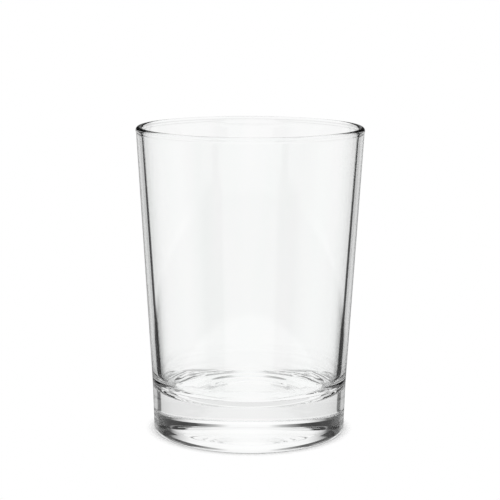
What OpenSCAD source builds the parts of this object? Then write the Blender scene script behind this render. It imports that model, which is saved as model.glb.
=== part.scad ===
// Clear drinking glass with tapered sides and a thick solid base.
// The whole tumbler is one piece of pressed glass: the section below is turned once round +Z.
// Origin: middle of the resting face. +Z runs up to the rim.

/* [Size] */
// Height from the table to the top of the rim
glass_h = 100; // [75:1:150]
// Outer diameter of the wall, taken up to the level of the rim
mouth_d = 73.8; // [66:0.2:95]

/* [Wall] */
// Thickness of the wall at the rim
rim_wall = 2; // [1.4:0.1:2.6]
// Thickness of the wall at the level of the cup's floor
foot_wall = 3; // [2:0.1:4.5]

/* [Rim] */
// Width of the round bead that the melted edge draws itself into
bead_w = 2.3; // [2:0.05:3]
// How far the bead swells out past the wall
bead_swell = 0.15; // [0:0.01:0.25]

/* [Base] */
// Outer diameter at the shoulder, where the tapered wall meets the steeper base
shoulder_d = 63.7; // [56:0.1:65]
// Height of the shoulder above the table
shoulder_h = 15; // [11:0.5:22]
// Outer diameter of the base, taken down to the table
foot_d = 62.7; // [54:0.1:63.6]
// Radius of the rounded heel
heel_r = 0.7; // [0.3:0.1:3.5]
// Width of the flat ring that the glass rests on
rest_ring_w = 14.3; // [4:0.1:18]
// How high the underside is hollowed inside that ring
push_up_h = 2.4; // [0.4:0.1:4]

/* [Floor of the cup] */
// Thickness of the solid base, from the table to the edge of the cup's floor
base_h = 13.1; // [8:0.1:18]
// Radius of the corner between the floor and the wall
corner_r = 7.5; // [2:0.1:12]
// How far the floor dips towards its middle
floor_dip = 0.65; // [0.1:0.05:2]

/* [Hidden] */
$fn = 192;

// Overrun of every cut past the surface that it leaves
over = 5;

// Outer wall: a straight taper from the shoulder up to the mouth
mouth_r = mouth_d / 2;
shoulder_r = shoulder_d / 2;
wall_lean = atan((mouth_r - shoulder_r) / (glass_h - shoulder_h));

// Rim bead: a circle that stands bead_swell proud of the wall's outer face
bead_r = bead_w / 2;
bead_z = glass_h - bead_r;
bead_wall_r = mouth_r - bead_r * tan(wall_lean);
bead_c = bead_wall_r + bead_swell - bead_r;

// Base: its side is steeper than the wall, and the heel circle touches it and the table
foot_r = foot_d / 2;
foot_lean = atan((shoulder_r - foot_r) / shoulder_h);
heel_c = foot_r + heel_r * tan(foot_lean) - heel_r / cos(foot_lean);
rest_ring_r = heel_c - rest_ring_w;

// Inside of the cup: a straight taper, and a corner circle that touches it and the floor
inner_mouth_r = mouth_r - rim_wall;
inner_foot_r = outer_r(base_h) - foot_wall;
inner_lean = atan((inner_mouth_r - inner_foot_r) / (glass_h - base_h));
corner_c = inner_foot_r + corner_r * tan(inner_lean) - corner_r / cos(inner_lean);
corner_z = base_h + corner_r;

// Radius of the outer face, without heel and bead, at a height above the table
function outer_r(z) = z < shoulder_h
    ? foot_r + z * tan(foot_lean)
    : shoulder_r + (z - shoulder_h) * tan(wall_lean);

// Radius of the cup's tapered face at a height above the table
function inner_r(z) = inner_foot_r + (z - base_h) * tan(inner_lean);

// Radius of the sphere whose cap is cap_h high over a circle of radius cap_r
function cap_sphere_r(cap_r, cap_h) = (cap_r * cap_r + cap_h * cap_h) / (2 * cap_h);

// Half section of the solid glass before the cup and the hollow underside are taken out
module blank_section() {
    polygon([
        [0, 0],
        [heel_c, 0],
        [heel_c + heel_r * cos(foot_lean), heel_r - heel_r * sin(foot_lean)],
        [shoulder_r, shoulder_h],
        [outer_r(bead_z), bead_z],
        [bead_c, bead_z],
        [bead_c, glass_h],
        [0, glass_h],
    ]);
    translate([heel_c, heel_r]) circle(r = heel_r);
}

// Half section of the space that the drink fills
module cup_section() {
    cap_r = cap_sphere_r(corner_c, floor_dip);
    polygon([
        [0, base_h],
        [corner_c, base_h],
        [corner_c + corner_r * cos(inner_lean), corner_z - corner_r * sin(inner_lean)],
        [inner_r(glass_h + over), glass_h + over],
        [0, glass_h + over],
    ]);
    translate([corner_c, corner_z]) circle(r = corner_r);
    intersection() {
        translate([0, base_h - floor_dip + cap_r]) circle(r = cap_r);
        translate([0, base_h - over]) square([corner_c, over]);
    }
}

// Half section of the hollow under the base
module push_up_section() {
    cap_r = cap_sphere_r(rest_ring_r, push_up_h);
    intersection() {
        translate([0, push_up_h - cap_r]) circle(r = cap_r);
        translate([0, -over]) square([rest_ring_r, push_up_h + over]);
    }
}

module tumbler_glass() {
    color([0.90, 0.93, 0.92, 0.45])
    rotate_extrude() {
        difference() {
            blank_section();
            cup_section();
            push_up_section();
        }
        translate([bead_c, bead_z]) circle(r = bead_r);
    }
}

tumbler_glass();
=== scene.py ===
import math

import bpy
import numpy as np
from mathutils import Matrix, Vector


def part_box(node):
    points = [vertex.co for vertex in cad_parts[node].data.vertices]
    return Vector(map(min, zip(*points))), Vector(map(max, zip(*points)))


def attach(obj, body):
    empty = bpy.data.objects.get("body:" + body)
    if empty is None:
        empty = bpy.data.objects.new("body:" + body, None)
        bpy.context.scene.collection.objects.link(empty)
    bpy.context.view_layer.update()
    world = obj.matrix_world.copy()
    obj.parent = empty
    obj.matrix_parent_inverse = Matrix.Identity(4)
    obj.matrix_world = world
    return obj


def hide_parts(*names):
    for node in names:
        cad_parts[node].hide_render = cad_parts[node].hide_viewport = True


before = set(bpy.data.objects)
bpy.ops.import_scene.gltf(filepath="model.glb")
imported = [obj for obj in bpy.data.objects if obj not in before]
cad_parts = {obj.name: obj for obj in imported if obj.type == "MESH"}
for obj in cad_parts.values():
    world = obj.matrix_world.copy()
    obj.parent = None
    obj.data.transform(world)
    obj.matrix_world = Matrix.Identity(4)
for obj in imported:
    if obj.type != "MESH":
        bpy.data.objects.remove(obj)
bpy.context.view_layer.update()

# The tumbler
# One piece of clear soda-lime glass, pressed between a mould and a plunger and fire-polished at the rim.
# Its half section is turned round the upright axis. The rings in the floor and its corner are plunger marks.
MM = 0.001
GLASS = "tumbler_glass"

low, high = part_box(GLASS)
HEIGHT = high.z - low.z
MOUTH_R = 36.9 * MM          # outer wall, taken up to the level of the rim
RIM_WALL = 2.0 * MM
FOOT_WALL = 3.0 * MM
BEAD_R = 1.15 * MM
BEAD_SWELL = 0.15 * MM       # how far the bead stands out past the wall
BEAD_BLEND = 0.12 * MM       # how softly the bead runs into the wall
SHOULDER_R = 31.85 * MM
SHOULDER_H = 15.0 * MM
SHOULDER_ROUND = 40.0 * MM
FOOT_R = 31.35 * MM
HEEL_R = 0.7 * MM
RING_W = 14.3 * MM           # flat ring that the glass rests on
RING_ROUND = 4.0 * MM
PUSH_UP_H = 2.4 * MM         # how high the underside is hollowed inside that ring
BASE_H = 13.1 * MM
CORNER_R = 7.5 * MM
FLOOR_DIP = 0.65 * MM
RIPPLE_H = 0.16 * MM         # depth and width of the rings in the floor, and where they begin and end
RIPPLE_W = 4.6 * MM
RIPPLE_FROM = 9.0 * MM
RIPPLE_TO = 26.0 * MM

SIDES = 256                  # meridians of the mesh
STEP = 1.2 * MM              # rows of the mesh along straight stretches, and along arcs
TURN_STEP = math.radians(7)
CORNER_TURN_STEP = math.radians(3)
HOLLOW_ROWS = 14
FLOOR_ROWS = 50
BEAD_ARC_ROWS = 25
BEAD_WALL_ROWS = 14          # extra rows on the wall under the bead
BEAD_WALL_REACH = 2.2        # how far down they go, in bead radii
BEAD_ZONE = 2.4              # how far from its middle the bead shapes the wall, in bead radii
TOP_SHARE = 0.9              # the wall's rows are laid out anew above this share of the height
SHARPEST = 1e-6              # least share of BEAD_BLEND, where the blend has faded
SAME_POINT = 1e-6            # points closer than this are one


def straight(start, stop, step):
    """Points on the line from start to stop, at most step apart, without start."""
    count = max(1, math.ceil(np.linalg.norm(stop - start) / step))
    return start + (stop - start) * (np.arange(1, count + 1) / count)[:, None]


def rounded_path(points, rounds, step, turn_step):
    """The polyline through points, with each inner corner replaced by an arc that touches both its sides, of
    the radius in rounds. The arc's centre lies radius / sin(half the corner's angle) from the corner, and its
    ends lie radius / tan(half the angle) along the sides. Its points are at most turn_step radians apart."""
    points = np.asarray(points, float)
    path = points[:1]
    for before, corner, after, radius in zip(points[:-2], points[1:-1], points[2:], rounds):
        to_before = (before - corner) / np.linalg.norm(before - corner)
        to_after = (after - corner) / np.linalg.norm(after - corner)
        half = math.acos(np.clip(to_before @ to_after, -1, 1)) / 2
        middle = (to_before + to_after) / np.linalg.norm(to_before + to_after)
        centre = corner + middle * radius / math.sin(half)
        first = corner + to_before * radius / math.tan(half) - centre
        last = corner + to_after * radius / math.tan(half) - centre
        turn = math.pi - 2 * half
        share = np.linspace(0, 1, max(2, math.ceil(turn / turn_step)) + 1)[:, None]
        arc = centre + (np.sin((1 - share) * turn) * first + np.sin(share * turn) * last) / math.sin(turn)
        path = np.vstack([path, straight(path[-1], arc[0], step)[:-1], arc])
    return np.vstack([path, straight(path[-1], points[-1], step)])


def cap(radius, rise, rows):
    """Section of a shallow sphere cap from its middle to its edge, as distances from the axis and heights
    above the edge. The sphere's radius is (radius squared + rise squared) / (2 rise)."""
    sphere_r = (radius ** 2 + rise ** 2) / (2 * rise)
    r = np.linspace(0, radius, rows)
    return r, np.sqrt(sphere_r ** 2 - r ** 2) - (sphere_r - rise)


def rippled(path):
    """Sinks points by RIPPLE_H (1 - cos(2 pi r / RIPPLE_W)) / 2 times half a sine wave, which is nothing at
    RIPPLE_FROM and at RIPPLE_TO."""
    share = np.clip((path[:, 0] - RIPPLE_FROM) / (RIPPLE_TO - RIPPLE_FROM), 0, 1)
    depth = RIPPLE_H * (1 - np.cos(2 * math.pi * path[:, 0] / RIPPLE_W)) / 2
    return path - np.column_stack([np.zeros(len(path)), depth * np.sin(math.pi * share)])


def glass_section():
    """Half section of the glass as (r, z) points: from the middle of the underside over the resting ring and
    the heel, up the outside, round the bead, down the inside and round the corner to the floor's middle."""
    lean = (MOUTH_R - SHOULDER_R) / (HEIGHT - SHOULDER_H)
    inner_mouth_r = MOUTH_R - RIM_WALL
    inner_foot_r = FOOT_R + (SHOULDER_R - FOOT_R) * BASE_H / SHOULDER_H - FOOT_WALL
    inner_lean = (inner_mouth_r - inner_foot_r) / (HEIGHT - BASE_H)
    bead_z = HEIGHT - BEAD_R
    bead_wall_r = MOUTH_R - BEAD_R * lean
    bead_c = bead_wall_r + BEAD_SWELL - BEAD_R
    ring_r = FOOT_R - HEEL_R - RING_W

    def with_bead(path, side):
        """The wall's points with extra rows, run into the bead's circle on its outer (1) or inner (-1) side:
        r + side b ln(1 + e^(gap / b)), where gap is how far the circle stands past the wall. The blend b is
        BEAD_BLEND one bead radius below the circle's middle and fades to nothing at its widest point."""
        extra = bead_z - BEAD_R * np.linspace(0, BEAD_WALL_REACH, BEAD_WALL_ROWS)
        z = np.sort(np.concatenate([path[:, 1], extra]))[::side]
        up = np.argsort(path[:, 1])
        r = np.interp(z, path[up, 1], path[up, 0])
        reach = np.sqrt(np.clip(BEAD_R ** 2 - (z - bead_z) ** 2, 0, None))
        gap = side * (bead_c + side * reach - r)
        blend = np.clip((bead_z - z) / BEAD_R, SHARPEST, 1) * BEAD_BLEND
        soft = side * np.logaddexp(0, gap / blend) * blend
        near = np.abs(z - bead_z) <= BEAD_ZONE * BEAD_R
        return np.column_stack([np.where(near, r + soft, r), z])

    hollow = np.column_stack(cap(ring_r, PUSH_UP_H, HOLLOW_ROWS))[:-1]
    outside = rounded_path(
        [hollow[-1], (ring_r, 0), (FOOT_R, 0), (SHOULDER_R, SHOULDER_H), (bead_wall_r, bead_z)],
        [RING_ROUND, HEEL_R, SHOULDER_ROUND], STEP, TURN_STEP)
    floor_r, floor_drop = cap(inner_foot_r - CORNER_R, FLOOR_DIP, FLOOR_ROWS)
    floor = np.column_stack([floor_r, BASE_H - floor_drop])[::-1][1:]
    inside = rounded_path(
        [(inner_mouth_r - BEAD_R * inner_lean, bead_z), (inner_foot_r, BASE_H), floor[0]],
        [CORNER_R], STEP, CORNER_TURN_STEP)
    floor = rippled(floor)
    corner = inside[:, 1] < BASE_H + CORNER_R
    inside[corner] = rippled(inside[corner])

    outer_top = outside[:, 1] > HEIGHT * TOP_SHARE
    inner_top = inside[:, 1] > HEIGHT * TOP_SHARE
    angle = np.linspace(0, math.pi, BEAD_ARC_ROWS)[1:-1]
    bead = np.column_stack([bead_c + BEAD_R * np.cos(angle), bead_z + BEAD_R * np.sin(angle)])
    section = np.vstack([
        hollow[:-1], outside[~outer_top], with_bead(outside[outer_top], 1), bead,
        with_bead(inside[inner_top], -1), inside[~inner_top], floor[1:]])
    apart = np.linalg.norm(np.diff(section, axis=0), axis=1) > SAME_POINT
    return section[np.append(True, apart)]


def placed(name, points, faces):
    """An object in the scene with a mesh of these points and faces."""
    mesh = bpy.data.meshes.new(name)
    mesh.from_pydata(points, [], faces)
    made = bpy.data.objects.new(name, mesh)
    bpy.context.scene.collection.objects.link(made)
    return made


def turned(name, section, sides):
    """A closed surface of revolution: each inner point (r, z) of the section on every meridian, at r cos a
    and r sin a, with one vertex on the axis at each end of the section."""
    angle = np.arange(sides) * 2 * math.pi / sides
    r = section[1:-1, 0][:, None]
    z = section[1:-1, 1][:, None]
    rows = len(r)
    level = np.broadcast_to(z, (rows, sides))
    grid = np.stack([r * np.cos(angle), r * np.sin(angle), level], axis=-1)
    points = np.vstack([[[0, 0, section[0, 1]]], grid.reshape(-1, 3), [[0, 0, section[-1, 1]]]])
    here = 1 + np.arange(rows * sides).reshape(rows, sides)
    there = np.roll(here, -1, axis=1)
    quads = np.stack([here[:-1], there[:-1], there[1:], here[1:]], axis=-1).reshape(-1, 4)
    first_fan = np.column_stack([np.zeros(sides, int), there[0], here[0]])
    last_fan = np.column_stack([np.full(sides, len(points) - 1), here[-1], there[-1]])
    made = placed(name, points.tolist(), quads.tolist() + first_fan.tolist() + last_fan.tolist())
    made.data.polygons.foreach_set("use_smooth", np.ones(len(made.data.polygons), bool))
    made.data.validate()
    made.data.update()
    return made


CORD_TINT = (0.985, 0.995, 0.99, 1)
CORD_NOISE = (0.35, 0.65)    # noise levels between which the cords change from that tint to clear
FILM_NOISE = (0.45, 0.75)    # noise levels between which the film grows from nothing to FILM_ROUGHNESS
FILM_ROUGHNESS = 0.012
WAVE_H = 0.005 * MM          # height of the soft waves in the fire-polished face
GLASS_IOR = 1.52


def clear_glass():
    """Clear glass. Cords in the melt vary its colour by a hair, a faint film of washing varies its gloss, and
    soft waves from the mould tilt its face by a fraction of a degree. All three are noise in the glass's own
    coordinates."""
    material = bpy.data.materials.new("clear_glass")
    material.use_nodes = True
    tree = material.node_tree
    nodes = tree.nodes
    shader = nodes["Principled BSDF"]
    place = nodes.new("ShaderNodeTexCoord")

    def clouds(scale, detail, stretch):
        """Noise with its grain stretched along the axis of the glass."""
        mapping = nodes.new("ShaderNodeMapping")
        mapping.inputs["Scale"].default_value = (1, 1, stretch)
        tree.links.new(place.outputs["Object"], mapping.inputs["Vector"])
        noise = nodes.new("ShaderNodeTexNoise")
        noise.inputs["Scale"].default_value = scale
        noise.inputs["Detail"].default_value = detail
        tree.links.new(mapping.outputs["Vector"], noise.inputs["Vector"])
        return noise.outputs["Fac"]

    cords = nodes.new("ShaderNodeValToRGB")
    tints = (CORD_TINT, (1, 1, 1, 1))
    for element, level, tint in zip(cords.color_ramp.elements, CORD_NOISE, tints):
        element.position = level
        element.color = tint
    tree.links.new(clouds(scale=120, detail=2, stretch=0.2), cords.inputs["Fac"])
    tree.links.new(cords.outputs["Color"], shader.inputs["Base Color"])

    film = nodes.new("ShaderNodeMapRange")
    film.inputs["From Min"].default_value = FILM_NOISE[0]
    film.inputs["From Max"].default_value = FILM_NOISE[1]
    film.inputs["To Min"].default_value = 0
    film.inputs["To Max"].default_value = FILM_ROUGHNESS
    tree.links.new(clouds(scale=70, detail=3, stretch=0.6), film.inputs["Value"])
    tree.links.new(film.outputs["Result"], shader.inputs["Roughness"])

    waves = nodes.new("ShaderNodeBump")
    waves.inputs["Strength"].default_value = 1
    waves.inputs["Distance"].default_value = WAVE_H
    tree.links.new(clouds(scale=55, detail=1, stretch=0.5), waves.inputs["Height"])
    tree.links.new(waves.outputs["Normal"], shader.inputs["Normal"])

    shader.inputs["Metallic"].default_value = 0
    shader.inputs["IOR"].default_value = GLASS_IOR
    shader.inputs["Transmission Weight"].default_value = 1
    return material


tumbler = turned("tumbler", glass_section(), SIDES)
tumbler.data.materials.append(clear_glass())
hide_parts(GLASS)
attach(tumbler, "root")

# The table
# A plain white matt table top that runs out past the picture, so that it meets the white room with no line.
# The eye sees the glass's shadow on it close round the foot. The glass looks through the table into the room.
TABLE_R = 4.0
TABLE_SIDES = 64
TABLE_GAP = 0.05 * MM        # air left under the resting ring
SHADE_FROM = 31.4 * MM       # the shadow fades to plain white from here to there, measured from the axis
SHADE_TO = 34.5 * MM
HALF_COUNT = 0.5             # ray depths are whole numbers, and are compared half-way between two of them


def table_top():
    """A disc with its middle under the glass."""
    angle = np.arange(TABLE_SIDES) * 2 * math.pi / TABLE_SIDES
    z = np.full(TABLE_SIDES, -TABLE_GAP)
    points = np.column_stack([TABLE_R * np.cos(angle), TABLE_R * np.sin(angle), z])
    return placed("table", points.tolist(), [list(range(TABLE_SIDES))])


def joined(tree, value, socket):
    """Puts a number, a colour or another node's output into a socket."""
    if isinstance(value, bpy.types.NodeSocket):
        tree.links.new(value, socket)
    else:
        socket.default_value = value


def maths(tree, kind, *values):
    """The output of a math node of that kind, fed with the values."""
    node = tree.nodes.new("ShaderNodeMath")
    node.operation = kind
    for value, socket in zip(values, node.inputs):
        joined(tree, value, socket)
    return node.outputs[0]


def ramp(tree, value, start, stop):
    """0 below start, 1 above stop, and a smooth step between."""
    node = tree.nodes.new("ShaderNodeMapRange")
    node.interpolation_type = "SMOOTHSTEP"
    for name, given in (("Value", value), ("From Min", start), ("From Max", stop)):
        joined(tree, given, node.inputs[name])
    return node.outputs["Result"]


def seen_through_glass(tree):
    """1 for a ray that the glass has bent or mirrored on its way from the eye, 0 for all others."""
    path = tree.nodes.new("ShaderNodeLightPath")
    bent = maths(tree, "MAXIMUM", path.outputs["Is Transmission Ray"], path.outputs["Is Glossy Ray"])
    from_eye = maths(tree, "LESS_THAN", path.outputs["Diffuse Depth"], HALF_COUNT)
    return maths(tree, "MULTIPLY", bent, from_eye)


def table_white():
    """Matt white near the glass, where it takes the shadow, and glowing plain white further out. It is clear
    for rays that come through the glass."""
    material = bpy.data.materials.new("table_white")
    material.use_nodes = True
    tree = material.node_tree
    tree.nodes.clear()
    place = tree.nodes.new("ShaderNodeTexCoord")
    away = tree.nodes.new("ShaderNodeVectorMath")
    away.operation = "LENGTH"
    tree.links.new(place.outputs["Object"], away.inputs[0])
    matt = tree.nodes.new("ShaderNodeBsdfDiffuse")
    matt.inputs["Color"].default_value = (1, 1, 1, 1)
    glow = tree.nodes.new("ShaderNodeEmission")
    clear = tree.nodes.new("ShaderNodeBsdfTransparent")

    def mixed_shader(share, a, b):
        """Shader a where share is 0 and shader b where it is 1."""
        node = tree.nodes.new("ShaderNodeMixShader")
        for value, socket in zip((share, a.outputs[0], b.outputs[0]), node.inputs):
            joined(tree, value, socket)
        return node

    shaded = mixed_shader(ramp(tree, away.outputs["Value"], SHADE_FROM, SHADE_TO), matt, glow)
    face = mixed_shader(seen_through_glass(tree), shaded, clear)
    out = tree.nodes.new("ShaderNodeOutputMaterial")
    joined(tree, face.outputs[0], out.inputs["Surface"])
    return material


table = table_top()
table.data.materials.append(table_white())

# The room
# White for the eye and the table. The glass sees panels with dark gaps, chosen by how many of its faces a ray
# has crossed or been mirrored by. They stand about the photograph's axis and suit its viewpoint best.
HALF_TURN = 180.0            # the range of a panel's profile, in degrees
DEGREES = math.degrees(1)    # degrees in a radian
PHOTO_AXIS = (0, 180)        # bearings of the photograph's axis: away from its camera, and towards it
STEPS_EVERY = 45             # degrees between the middles of the upper panels

# Panels as (degrees from their middle, level), where level 1 is white
CUP = [(0, 0.98), (7, 0.97), (12, 0.96), (20, 0.92), (30, 0.86), (40, 0.88), (60, 0.95)]
STEPS = [(0, 0.97), (8, 0.95), (14, 0.88), (17.5, 0.5)]
BASE = [(0, 0.88), (30, 0.84), (56, 0.8), (58, 0.12), (64, 0.14), (67, 0.7), (90, 0.85)]
EDGE = [(0, 0.82), (20, 0.82), (32.5, 0.76), (34, 0.03), (39, 0.03), (41.5, 0.85), (52, 0.9), (70, 0.6)]
CORNER = [(0, 0.7), (20, 0.72), (29.5, 0.66), (31, 0.03), (50, 0.03), (58, 0.7), (70, 0.95)]
RISING = [(0, 0.95), (24, 0.85), (27, 0.03), (39, 0.03), (50, 0.7), (70, 0.95)]
MIRROR = [
    (0, 1.0), (20, 0.97), (28, 0.92), (36, 0.62), (41, 0.38), (45, 0.11), (59, 0.14), (66, 0.2), (76, 0.6),
    (90, 0.627)]
LOW = [(0, 1.0), (36, 0.95), (42, 0.45), (52, 0.04), (92, 0.04), (104, 0.4), (118, 0.8)]
OUTER = [(0, 0.62), (24, 0.55), (38, 0.15), (54, 0.12), (75, 0.95)]
RIM = [(0, 0.3), (8, 0.02)]
LOST = [(0, 1.0), (14, 0.9), (18, 0.12), (56, 0.1), (66, 0.8), (90, 0.832)]
DEEP = [(0, 1.0), (18, 0.9), (30, 0.45), (45, 0.2)]
PLAIN = 0.96                 # level of the room where there is no panel
UNDER = 0.8                  # level steeply below, for rays that the glass mirrors down
SHADOW = 0.25                # level for light that reaches the table through the glass

# How steep a ray is, up or down, in degrees, where each panel ends or another begins
CUP_TOP = 20
STEPS_FROM = 45
STEPS_TOP = 60
BASE_TOP = 20
BASE_GLEAM = 1.1             # the base's panels are brighter by this factor up to BASE_GLEAM_TOP
BASE_GLEAM_TOP = 8
EDGE_TOP = 15.7
CORNER_TOP = 33
UNDER_FROM = 45
RISING_TOP = 15.2
MIRROR_TOP = 36
LOW_TURN = 28.0              # LOW is turned by this angle from LOW_TURN_FROM to LOW_TURN_TOP
LOW_TURN_FROM = 15.6
LOW_TURN_TOP = 16.38
OUTER_DIM = 0.4              # OUTER is dimmer by this factor from OUTER_DIM_FROM on
OUTER_DIM_FROM = 14.6
OUTER_TOP = 19
RIM_TOP = 24
LOST_TOP = 31
DEEP_TOP = 33


def white_room():
    """The world. Its level for the glass goes by the ray's bearing, its steepness and Light Path's depths."""
    world = bpy.data.worlds.new("white_room")
    bpy.context.scene.world = world
    world.use_nodes = True
    tree = world.node_tree
    tree.nodes.clear()

    def mixed(share, a, b):
        """Level a where share is 0 and level b where it is 1."""
        node = tree.nodes.new("ShaderNodeMix")
        for name, value in (("Factor", share), ("A", a), ("B", b)):
            joined(tree, value, node.inputs[name])
        return node.outputs["Result"]

    def profile(angle, stops):
        """Level at an angle in degrees from the middle of a panel, straight between the stops."""
        node = tree.nodes.new("ShaderNodeValToRGB")
        joined(tree, maths(tree, "DIVIDE", angle, HALF_TURN), node.inputs["Fac"])
        band = node.color_ramp
        for i, (degrees, level) in enumerate(stops):
            stop = band.elements[i] if i < len(band.elements) else band.elements.new(1.0)
            stop.position = degrees / HALF_TURN
            stop.color = (level, level, level, 1)
        return node.outputs["Color"]

    def from_nearest(*bearings):
        """Angle in degrees between the horizontal direction and the nearest of the bearings."""
        best = -1.0
        for bearing in bearings:
            dot = tree.nodes.new("ShaderNodeVectorMath")
            dot.operation = "DOT_PRODUCT"
            turn = math.radians(bearing)
            dot.inputs[1].default_value = (-math.sin(turn), math.cos(turn), 0)
            joined(tree, unit.outputs[0], dot.inputs[0])
            best = maths(tree, "MAXIMUM", best, dot.outputs["Value"])
        angle = maths(tree, "ARCCOSINE", maths(tree, "MINIMUM", best, 1.0))
        return maths(tree, "MULTIPLY", angle, DEGREES)

    def stacked(first, *others, soft=0.2):
        """The first value near the horizon, and from each given steepness on the next one. The change takes soft
        degrees to either side."""
        for edge, other in others:
            first = mixed(ramp(tree, steepness, edge - soft, edge + soft), first, other)
        return first

    def reached(depth, count):
        """1 where a ray's depth is the count or more."""
        return maths(tree, "GREATER_THAN", path.outputs[depth], count - HALF_COUNT)

    place = tree.nodes.new("ShaderNodeTexCoord")
    flat = tree.nodes.new("ShaderNodeVectorMath")
    flat.operation = "MULTIPLY"
    flat.inputs[1].default_value = (1, 1, 0)
    unit = tree.nodes.new("ShaderNodeVectorMath")
    unit.operation = "NORMALIZE"
    joined(tree, place.outputs["Generated"], flat.inputs[0])
    joined(tree, flat.outputs[0], unit.inputs[0])
    split = tree.nodes.new("ShaderNodeSeparateXYZ")
    joined(tree, place.outputs["Generated"], split.inputs[0])
    height = maths(tree, "MULTIPLY", maths(tree, "ARCSINE", split.outputs["Z"]), DEGREES)
    steepness = maths(tree, "ABSOLUTE", height)
    upward = maths(tree, "GREATER_THAN", height, 0.0)
    bearing = from_nearest(*PHOTO_AXIS)
    path = tree.nodes.new("ShaderNodeLightPath")

    # Not mirrored: through both walls of the cup, or through the base or one wall
    steps = profile(from_nearest(*range(0, 360, STEPS_EVERY)), STEPS)
    cup = stacked(
        profile(bearing, CUP), (CUP_TOP, PLAIN), (STEPS_FROM, steps), (STEPS_TOP, PLAIN), soft=1.5)
    base = stacked(profile(bearing, BASE), (BASE_TOP, PLAIN), soft=2.0)
    base = maths(tree, "MULTIPLY", base, stacked(BASE_GLEAM, (BASE_GLEAM_TOP, 1.0)))
    crossed = mixed(reached("Transmission Depth", 3), base, cup)

    # Mirrored once inside the glass, with two faces crossed at most: downwards, and upwards
    corner = profile(bearing, CORNER)
    edge = stacked(
        profile(bearing, EDGE), (EDGE_TOP, corner), (CORNER_TOP, PLAIN), (UNDER_FROM, UNDER), soft=0.5)
    lean = stacked(0.0, (LOW_TURN_FROM, LOW_TURN), (LOW_TURN_TOP, 0.0), soft=0.05)
    low_level = profile(maths(tree, "ADD", bearing, lean), LOW)
    mirror = maths(tree, "MINIMUM", profile(bearing, MIRROR), low_level)
    mirror = stacked(profile(bearing, RISING), (RISING_TOP, mirror), (MIRROR_TOP, PLAIN))

    # Mirrored more often, with two faces crossed at most, and with more
    lost = stacked(profile(bearing, LOST), (LOST_TOP, PLAIN))
    deep = stacked(profile(bearing, DEEP), (DEEP_TOP, PLAIN), soft=1.0)
    often = reached("Glossy Depth", 2)
    few_faces = mixed(often, mixed(upward, edge, mirror), lost)
    inside = mixed(reached("Transmission Depth", 3), few_faces, mixed(often, PLAIN, deep))

    # Mirrored by the outer face, with none crossed: downwards, and upwards as the rim does
    ahead = profile(bearing, OUTER)
    dimmed = maths(tree, "MULTIPLY", ahead, OUTER_DIM)
    outer = stacked(ahead, (OUTER_DIM_FROM, dimmed), (OUTER_TOP, PLAIN))
    outer = mixed(upward, outer, stacked(profile(bearing, RIM), (RIM_TOP, PLAIN)))
    mirrored = mixed(reached("Transmission Depth", 1), outer, inside)

    shaded = maths(tree, "MULTIPLY", reached("Diffuse Depth", 1), reached("Transmission Depth", 1))
    level = mixed(reached("Glossy Depth", 1), crossed, mirrored)
    level = mixed(seen_through_glass(tree), mixed(shaded, 1.0, SHADOW), level)
    glow = tree.nodes.new("ShaderNodeBackground")
    glow.inputs["Color"].default_value = (1, 1, 1, 1)
    joined(tree, level, glow.inputs["Strength"])
    out = tree.nodes.new("ShaderNodeOutputWorld")
    joined(tree, glow.outputs[0], out.inputs["Surface"])


white_room()

# The camera
# It stands about half a metre away and a little above the rim, as the ellipses of the rim and the base show.
CAMERA_AWAY = 521.7 * MM
CAMERA_UP = 150.4 * MM
CAMERA_SIDE = 0.08 * MM
CAMERA_PITCH = 0.1726        # radians, downwards
CAMERA_ROLL = 0.0047         # radians
FOCAL_PIXELS = 1620.9
PICTURE_SIDE = 500
NEAREST = 0.01
FARTHEST = 100
BOUNCES = 40                 # rays stay in the glass for many faces
GLOSSY_BOUNCES = 24

camera = bpy.data.objects.new("camera", bpy.data.cameras.new("camera"))
bpy.context.scene.collection.objects.link(camera)
camera.data.lens = FOCAL_PIXELS / PICTURE_SIDE * camera.data.sensor_width
camera.data.clip_start = NEAREST
camera.data.clip_end = FARTHEST
camera.location = (CAMERA_SIDE, -CAMERA_AWAY, CAMERA_UP)
tilt = Matrix.Rotation(math.pi / 2 - CAMERA_PITCH, 3, "X")
camera.rotation_euler = (tilt @ Matrix.Rotation(CAMERA_ROLL, 3, "Z")).to_euler()
bpy.context.scene.camera = camera
bpy.context.scene.cycles.blur_glossy = 0
bpy.context.scene.cycles.max_bounces = BOUNCES
bpy.context.scene.cycles.transmission_bounces = BOUNCES
bpy.context.scene.cycles.glossy_bounces = GLOSSY_BOUNCES
bpy.context.scene.view_settings.view_transform = "Standard"
